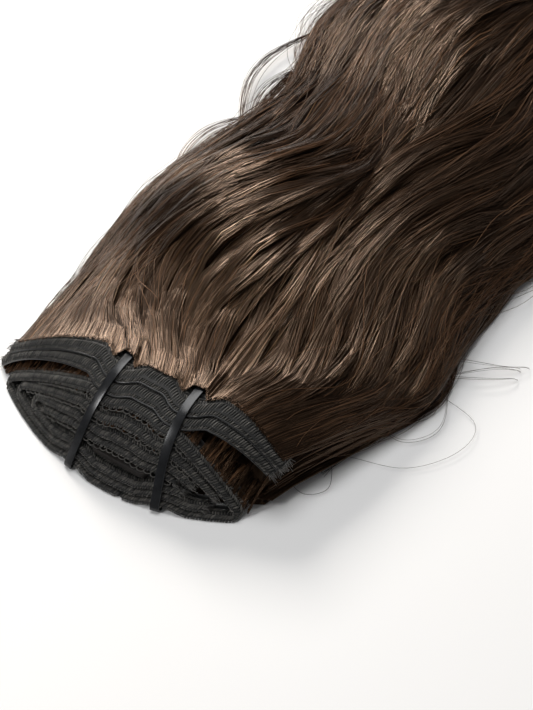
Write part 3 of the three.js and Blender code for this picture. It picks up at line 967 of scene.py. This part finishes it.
def lock_strands(row, rng):
    """Paths, outward directions and tones of a family of hair."""
    family = dict(zip(HAIR_COLUMNS, row))
    lo, hi = ROOT_SPAN.get(family["name"], WHOLE_SPAN)
    locks, per_lock = family["locks"], family["strands"]
    count = locks * per_lock
    spacing = (hi - lo) / locks
    lock_root = lo + (np.arange(locks) + 0.5) * spacing + rng.normal(0, spacing * 0.2, locks)
    lock_share = rng.uniform(family["low"], family["high"], locks)
    share_along = (np.arange(STATIONS) / (STATIONS - 1)) ** STATION_CROWDING
    lock_end = rng.uniform(0.92, 1.0, locks)

    def each(values):
        return np.repeat(values, per_lock, axis=0)

    end = each(lock_end) * rng.uniform(0.95, 1.0, count)
    along = share_along[None, :] * end[:, None]
    y_guess = HAIR_START + 6 + along * HAIR_LENGTH
    lock_sway = wobble(y_guess[::per_lock], locks, rng, (2.2, 1.2), (150, 80))
    lock_lift = wobble(y_guess[::per_lock], locks, rng, (1.4, 0.8, 0.25), (120, 65, 34))
    fade_in = smooth(along / FADE_IN)

    angle = rng.uniform(math.radians(-25), math.radians(205), count)
    ring = np.sqrt(rng.uniform(0.25, 1, count))
    root = each(lock_root) + rng.uniform(-1, 1, count) * spacing * 0.75
    root = np.clip(root, lo - 1.5, hi + 1.5)
    gather = mix(0.55, 1.0, smooth(along / 0.25)) * mix(1.0, 0.45, smooth((along - 0.6) / 0.4))
    off_x = (ring * np.cos(angle))[:, None] * family["wide"] * gather
    off_z = (ring * np.sin(angle))[:, None] * family["tall"] * gather

    flow_root = mix(root[:, None], each(lock_root)[:, None], 0.75 * fade_in)
    x = flow_x(flow_root, y_guess) + off_x * fade_in + each(lock_sway) * fade_in
    x = x + wobble(y_guess, count, rng, (0.5, 0.35), (90, 45)) * fade_in
    low_edge, high_edge = pile_edges(along)
    past_low = EDGE_SQUEEZE * np.tanh((low_edge - x) / EDGE_SQUEEZE)
    x = np.where(x < low_edge, low_edge - past_low, x)
    past_high = EDGE_SQUEEZE * np.tanh((x - high_edge) / EDGE_SQUEEZE)
    x = np.where(x > high_edge, high_edge + past_high, x)

    height = pile_height(along, x)
    share = each(lock_share)[:, None]
    z = share * height + (off_z - family["tall"] * 0.8) * fade_in + each(lock_lift) * fade_in
    z = z + share * relief(flow_root, y_guess) * fade_in * smooth(height / 20)
    z = z + wobble(y_guess, count, rng, (0.25,), (60,)) * fade_in
    if family["low"] >= CROWN_START:
        root_z = top_line(x) + rng.uniform(*ROOT_LIFT, (count, 1)) + OVER_STRAP * over_strap(x)
        depth = rng.uniform(*ROOT_DEPTH, (count, 1))
    else:
        root_z = np.minimum(share * height, top_line(x) + 0.2)
        depth = BAND_DEPTH - 0.9
    z = mix(root_z, z, smooth((along - ROOT_HOLD) / ROOT_LEAVE))
    z = np.maximum(z, LOWEST_STRAND)
    y = hair_y(along, x, z, depth)
    paths = np.stack([x, y, z], -1)

    bump = 0.5
    slope_x = (pile_height(along, x + bump) - pile_height(along, x - bump)) / (2 * bump) * share
    outward = np.stack([-slope_x, np.zeros_like(x), np.ones_like(x)], -1)
    lean_x = np.cos(angle)[:, None] * 0.9
    outward = outward + np.stack([lean_x + 0 * x, 0 * x, 0 * x], -1)
    taper = mix(1.0, 0.25, smooth((share_along - 0.75) / 0.25))[None, :]
    widths = family["ribbon"] * rng.uniform(0.5, 1.3, (count, 1)) * taper
    # The family's tone carries painted shade: it is lower for the families deep in the pile.
    lock_tone = rng.normal(0, 0.08, locks)
    tone = np.clip(family["tone"] + each(lock_tone) + rng.normal(0, 0.1, count), 0, 1)
    tone = tone + (rng.uniform(0, 1, count) > 0.97) * 0.3
    place = np.stack([
        np.repeat(rng.uniform(0, 90, count)[:, None], STATIONS, 1),
        y / PLACE_SCALE, np.zeros_like(y),
    ], -1)
    return ribbon_arrays(paths, widths, unit(outward), tone, place)


def make_hair(row, materials, seed):
    arrays = lock_strands(row, np.random.default_rng(seed))
    above_floor(arrays)
    return make_piece(row[0], arrays, materials["hair"])


BED_ACROSS = 130
BED_ALONG = 80
BED_SHARE = 0.9
BED_INSET = (3, 5)
BED_END = 0.97
BED_TAPER = 7
# Painted shade: the bed's front, behind the bands, has a lower tone than the rest of the bed.
BED_SHADE_TONES = (-0.3, 0.1)


def make_bed(materials):
    """The bed of hair under the strands, coloured darker than the strands as painted shade for the
    hair deep in the pile: a closed body ridged along the hair's run.
    """
    rng = np.random.default_rng(11)
    first, last = FLOW_ROOT[0] + BED_INSET[0], FLOW_ROOT[-1] - BED_INSET[1]
    root = np.linspace(first, last, BED_ACROSS)[None, :]
    along = np.linspace(0.0, BED_END, BED_ALONG)[:, None]
    y0 = HAIR_START + 6 + along * HAIR_LENGTH
    x = flow_x(root + 0 * along, y0 + 0 * root)
    ridge = sum(
        size * np.sin(root * pitch + rng.uniform(0, 6)) for size, pitch in ((0.6, 1.1), (0.4, 2.3))
    )
    fade = smooth(along / 0.1)
    upper = BED_SHARE * pile_height(along, x) + ridge * fade - 1.0
    upper = upper * smooth(np.minimum(root - root[0, 0], root[0, -1] - root) / BED_TAPER)
    upper = upper + BED_SHARE * relief(root + 0 * along, y0 + 0 * root) * fade
    upper = np.minimum(upper, mix(top_line(x) - 2, upper, fade))
    upper = np.maximum(upper, 1.2)
    lower = np.full_like(upper, 0.4)
    sheets = []
    for z in (upper, lower):
        sheets.append(np.stack([x, hair_y(along + 0 * x, x, z, BAND_DEPTH + 3), z], -1))
    rings = np.concatenate([sheets[0], sheets[1][:, ::-1]], 1)
    ring = rings.shape[1]
    quads = strip_quads(1, BED_ALONG, ring, True)
    caps = []
    for end in (0, (BED_ALONG - 1) * ring):
        for i in range(BED_ACROSS - 1):
            caps.append([end + i, end + i + 1, end + ring - 2 - i, end + ring - 1 - i])
    root_ring = np.concatenate([root[0], root[0, ::-1]])
    place = np.stack([
        np.broadcast_to(root_ring * 1.6, (BED_ALONG, ring)),
        np.broadcast_to(y0 / 60, (BED_ALONG, ring)),
        np.zeros((BED_ALONG, ring)),
    ], -1)
    # Painted shade: the bed darkens over its first few hundredths, behind the bands.
    tone = mix(*BED_SHADE_TONES, smooth(along[:, 0] / 0.04))
    arrays = {
        "points": rings.reshape(-1, 3), "quads": np.concatenate([quads, caps]),
        "tone": np.repeat(tone, ring), "place": place.reshape(-1, 3),
    }
    return make_piece("hair_bed", arrays, materials["bed"])


# Short hair in the gaps between the bands: the line it grows from, the line above it, where
# it starts and ends across the stack, how many hairs, and how far they rise into the gap
GAP_LINES = {
    "second": (second_line, top_line),
    "outer": (outer_upper, second_line),
    "middle": (MIDDLE_FOLD[0], OUTER_FOLD[0]),
    "inner": (INNER_FOLD[0], MIDDLE_FOLD[0]),
}
GAP_COLUMNS = ("gap", "left", "right", "hairs", "rise")
GAP_ROWS = (
    ("second", -64, 53, 700, 0.6),
    ("outer", -60, 50, 1300, 0.3),
    ("outer", -58, 50, 700, 1.0),
    ("outer", -66, -54, 350, 0.9),
    ("middle", -50, 42, 650, 0.5),
    ("inner", -42, 34, 450, 0.5),
)


TUFT = 7


def gap_hairs(row, rng):
    gap = dict(zip(GAP_COLUMNS, row))
    count = gap["hairs"]
    line, roof = GAP_LINES[gap["gap"]]
    tufts = count // TUFT
    tuft = rng.integers(0, tufts, count)
    x = rng.uniform(gap["left"], gap["right"], tufts)[tuft] + rng.normal(0, 0.16, count)
    low = np.maximum(0.4, line(x) + BAND_THICKNESS * 0.55)
    room = np.maximum(0.3, roof(x) - BAND_THICKNESS * 0.4 - low)
    t = np.linspace(0, 1, 7)[None, :]
    rise = rng.uniform(0.05, gap["rise"], tufts)[tuft, None] * rng.uniform(0.8, 1.2, (count, 1))
    z = low[:, None] + room[:, None] * rise * np.sin(t * math.pi / 2)
    sway = rng.normal(0, 1.0, tufts)[tuft, None] + rng.normal(0, 0.4, (count, 1))
    xs = x[:, None] + sway * t + wobble(t * 9, count, rng, (0.2,), (7,))
    depth = rng.uniform(2.3, 3.6, (count, 1)) + t**1.3 * rng.uniform(6.0, 10.0, (count, 1))
    paths = np.stack([xs, stack_y(xs, z, depth), z], -1)
    outward = np.broadcast_to(np.array([0.0, -0.6, 0.8]), paths.shape)
    widths = np.broadcast_to(rng.uniform(0.12, 0.3, (count, 1)), (count, 7))
    place = np.stack([np.repeat(x[:, None], 7, 1) * 3, depth / 4, 0 * depth], -1)
    tone = np.clip(rng.beta(1.2, 2.2, tufts)[tuft] + rng.normal(0, 0.06, count), 0, 1)
    return ribbon_arrays(paths, widths, outward, tone, place)


def make_roots(materials):
    rng = np.random.default_rng(21)
    arrays = joined([gap_hairs(row, rng) for row in GAP_ROWS])
    return make_piece("hair_roots", arrays, materials["hair"])


# Hairs that have come loose beside the pile, each bunch along a curve through five places
STRAY_COLUMNS = (
    "hairs", "spread", "lift", "x0", "y0", "x1", "y1", "x2", "y2", "x3", "y3", "x4", "y4",
)
STRAY_ROWS = (
    (30, 0.6, 4.0, -60, 156, -74, 170, -84, 190, -84, 212, -72, 246),
    (20, 0.6, 4.0, -58, 160, -69, 170, -75, 186, -72, 202, -62, 224),
    (60, 0.7, 5.0, -58, 158, -67, 172, -69, 187, -69, 202, -62, 226),
    (40, 3.0, 3.0, -62, 205, -74, 214, -81, 226, -86, 240, -84, 262),
    (14, 0.6, 1.5, -62, 180, -76, 166, -82, 152, -79, 134, -64, 114),
    (14, 0.9, 1.5, -60, 176, -72, 164, -77, 152, -75, 138, -60, 116),
    (34, 0.5, 1.0, 68, 114, 77, 90, 76, 76, 67, 58, 55, 30),
    (90, 4.0, 1.2, 64, 112, 73, 93, 71, 79, 65, 62, 53, 36),
    (3, 1.2, 3.0, 60, 86, 70, 94, 78, 102, 85, 109, 93, 115),
    (2, 0.8, 3.0, 62, 88, 75, 95, 83, 99, 90, 104, 95, 110),
    (2, 1.0, 3.0, 62, 98, 73, 105, 81, 108, 89, 112, 95, 118),
    (2, 0.3, 0.8, 62, 63, 76, 60, 84, 68, 83, 79, 72, 98),
    (1, 0.1, 0.8, 62, 44, 84, 51, 96, 68, 94, 83, 74, 88),
    (1, 0.1, 0.8, 50, 24, 60, 21, 66, 27, 63, 35, 54, 46),
)
STRAY_STATIONS = 28
STRAY_SLACK = 0.22


def through(places, t):
    """A smooth curve through evenly timed places."""
    slopes = np.gradient(places, axis=0)
    at = t * (len(places) - 1)
    k = np.minimum(at.astype(int), len(places) - 2)
    u = (at - k)[:, None]
    return (
        (2 * u**3 - 3 * u**2 + 1) * places[k] + (u**3 - 2 * u**2 + u) * slopes[k]
        + (3 * u**2 - 2 * u**3) * places[k + 1] + (u**3 - u**2) * slopes[k + 1]
    )


def stray_paths(row, rng):
    stray = dict(zip(STRAY_COLUMNS, row))
    hairs, spread, lift = stray["hairs"], stray["spread"], stray["lift"]
    places = np.array(row[3:], float).reshape(-1, 2)
    t = np.linspace(0, 1, STRAY_STATIONS)
    curve = through(places, t)
    y = np.broadcast_to(curve[:, 1], (hairs, STRAY_STATIONS))
    aside = rng.normal(0, spread, (hairs, 1)) + wobble(y, hairs, rng, (0.4 * spread,), (40,))
    way = unit(np.gradient(curve, axis=0))
    chord = places[0] + (places[-1] - places[0]) * t[:, None]
    swing = 1 - np.abs(rng.normal(0, STRAY_SLACK * spread, (hairs, 1, 1)))
    curve = chord + (curve - chord) * swing
    x = curve[..., 0] + aside * way[:, 1]
    y = curve[..., 1] - aside * way[:, 0]
    height = lift * rng.uniform(0.5, 1.3, (hairs, 1)) * np.sin(math.pi * t) ** 0.5
    return np.stack([x, y, 0.5 + height + 0 * x], -1)


def make_strays(materials):
    rng = np.random.default_rng(41)
    paths = np.concatenate([stray_paths(row, rng) for row in STRAY_ROWS])
    radii = np.broadcast_to(rng.uniform(0.06, 0.1, (len(paths), 1)), paths.shape[:2])
    tone = np.clip(rng.normal(0.35, 0.15, len(paths)), 0, 1)
    arrays = tube_arrays(paths, radii, tone, 3)
    arrays["place"] = arrays["points"] / PLACE_SCALE
    return make_piece("hair_strays", arrays, materials["hair"])


FLYAWAY_COUNT = 420
FLYAWAY_STATIONS = 24
FLYAWAY_REACH = 9.0


def make_flyaways(materials):
    """Single hairs that stand off the pile and stray over its surface."""
    rng = np.random.default_rng(31)
    count = FLYAWAY_COUNT
    start = rng.uniform(0, 0.6, count)
    length = rng.uniform(0.12, 0.45, count)
    t = np.linspace(0, 1, FLYAWAY_STATIONS)[None, :]
    along = np.clip(start[:, None] + length[:, None] * t, 0, 1)
    root = rng.uniform(-57, 53, count)
    at_edge = rng.uniform(0, 1, count) < 0.45
    root = np.where(at_edge, np.where(rng.uniform(0, 1, count) < 0.5, -58.5, 54), root)
    y_guess = HAIR_START + 6 + along * HAIR_LENGTH
    off = wobble(y_guess, count, rng, (5.0, 2.5), (170, 80)) * np.sin(np.pi * t) ** 0.7
    x = flow_x(root[:, None] + 0 * along, y_guess) + off
    low_edge, high_edge = pile_edges(along)
    x = np.clip(x, low_edge - FLYAWAY_REACH, high_edge + FLYAWAY_REACH)
    lift = np.abs(wobble(y_guess, count, rng, (1.6,), (120,))) * np.sin(np.pi * t)
    z = pile_height(along, x) + 0.5 + lift
    outside = np.maximum(0, np.maximum(low_edge - x, x - high_edge))
    z = z * np.exp(-outside / 6) + 0.3
    paths = np.stack([x, hair_y(along, x, z, BAND_DEPTH), z], -1)
    radii = np.broadcast_to(rng.uniform(0.06, 0.11, (count, 1)), paths.shape[:2])
    arrays = tube_arrays(paths, radii, np.clip(rng.normal(0.6, 0.25, count), 0.1, 1.2), 3)
    arrays["place"] = arrays["points"] / PLACE_SCALE
    return make_piece("hair_flyaways", arrays, materials["hair"])


# Stage


def make_camera():
    a, e = math.radians(CAMERA_AZIMUTH), math.radians(CAMERA_ELEVATION)
    back = Vector((math.sin(a) * math.cos(e), -math.cos(a) * math.cos(e), math.sin(e)))
    data = bpy.data.cameras.new("camera")
    data.lens = CAMERA_LENS
    data.sensor_width = CAMERA_SENSOR
    data.clip_start, data.clip_end = 0.01, 20
    camera = bpy.data.objects.new("camera", data)
    camera.location = (Vector(CAMERA_TARGET) + back * CAMERA_DISTANCE) * MM
    camera.rotation_mode = "QUATERNION"
    camera.rotation_quaternion = (-back).to_track_quat("-Z", "Y")
    bpy.context.scene.collection.objects.link(camera)
    bpy.context.scene.camera = camera


# Studio lights, in metres and watts
LIGHT_COLUMNS = ("name", "location", "target", "side", "power", "colour")
LIGHT_ROWS = (
    ("key_from_left", (-0.9, 0.68, 0.64), (0.0, 0.08, 0.0), 0.4, 16, (1, 0.95, 0.89)),
    ("sky", (-0.3, 0.35, 1.4), (0.0, 0.08, 0.0), 0.8, 9, (1, 1, 1)),
    ("fill_left_front", (-0.5, -0.75, 0.9), (0.0, 0.0, 0.0), 0.3, 4.5, (1, 1, 1)),
)
WORLD_STRENGTH = 0.12
FLOOR_HALF = 6.0
FLOOR_DROP = 0.05


def area_light(row):
    lamp = dict(zip(LIGHT_COLUMNS, row))
    data = bpy.data.lights.new(lamp["name"], "AREA")
    data.shape = "RECTANGLE"
    data.size, data.size_y = lamp["side"], lamp["side"]
    data.energy = lamp["power"]
    data.color = lamp["colour"]
    light = bpy.data.objects.new(lamp["name"], data)
    light.location = lamp["location"]
    way = Vector(lamp["target"]) - Vector(lamp["location"])
    light.rotation_mode = "QUATERNION"
    light.rotation_quaternion = way.to_track_quat("-Z", "Y")
    bpy.context.scene.collection.objects.link(light)


def make_stage():
    world = bpy.data.worlds.new("white_room")
    world.use_nodes = True
    world.node_tree.nodes["Background"].inputs["Color"].default_value = (1, 1, 1, 1)
    world.node_tree.nodes["Background"].inputs["Strength"].default_value = WORLD_STRENGTH
    bpy.context.scene.world = world
    bpy.context.scene.view_settings.view_transform = "Standard"
    for row in LIGHT_ROWS:
        area_light(row)
    corners = np.array([[-1, -1, 0], [1, -1, 0], [1, 1, 0], [-1, 1, 0]]) * FLOOR_HALF / MM
    corners = corners - np.array([0, 0, FLOOR_DROP])
    floor = make_object("floor", corners, [[0, 1, 2, 3]], floor_material())


# The bundle


def main():
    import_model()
    make_camera()
    make_stage()
    materials = {
        "thread": thread_material("weft_thread", *THREAD_COLOURS, 0.6),
        "edging": thread_material("edging_thread", *EDGING_COLOURS, 0.28),
        "hair": hair_material("hair_strand", *HAIR_COLOURS, 0.27),
        "bed": hair_material("hair_bed", *BED_SHADE_COLOURS, 0.6),
        "strap": strap_material(),
        "clip": clip_material(),
    }
    rng = np.random.default_rng(5)
    top, top_band = make_band(
        "weft_top_stitched", along_line(top_line, *TOP_BAND), materials, rng,
        cut_ends=(False, True))
    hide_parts("weft_top")
    second, second_band = make_band(
        "weft_second_stitched", along_line(second_line, *SECOND_BAND), materials, rng,
        cut_ends=(False, True))
    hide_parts("weft_second")
    outer, _ = make_band("weft_outer_stitched", outer_fold_path(), materials, rng,
                         loops=((1, 0.3, 0.62),), cut_ends=())
    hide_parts("weft_outer_fold")
    middle, _ = make_band("weft_middle_stitched", nested_fold_path(MIDDLE_FOLD), materials, rng,
                          loops=((1, 0.05, 0.5),), cut_ends=(False, True))
    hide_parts("weft_middle_fold")
    inner, _ = make_band("weft_inner_stitched", nested_fold_path(INNER_FOLD), materials, rng,
                         cut_ends=(False, True))
    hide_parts("weft_inner_fold")
    core, _ = make_band("weft_core_stitched", core_path(), materials, rng,
                        loops=((-1, 0.0, 1.0),), cut_ends=(False, True))
    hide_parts("weft_core")
    make_edging("weft_edging", ((top_band, -1.1), (second_band, -1.1)), materials)
    for tie in TIES:
        make_strap(tie, materials)
    bpy.data.objects["snap_clip"].material_slots[0].material = materials["clip"]
    bed = make_bed(materials)
    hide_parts("hair_bottom", "hair_middle", "hair_top")
    for seed, row in enumerate(HAIR_ROWS):
        make_hair(row, materials, 100 + seed)
    make_roots(materials)
    make_flyaways(materials)
    make_strays(materials)


main()
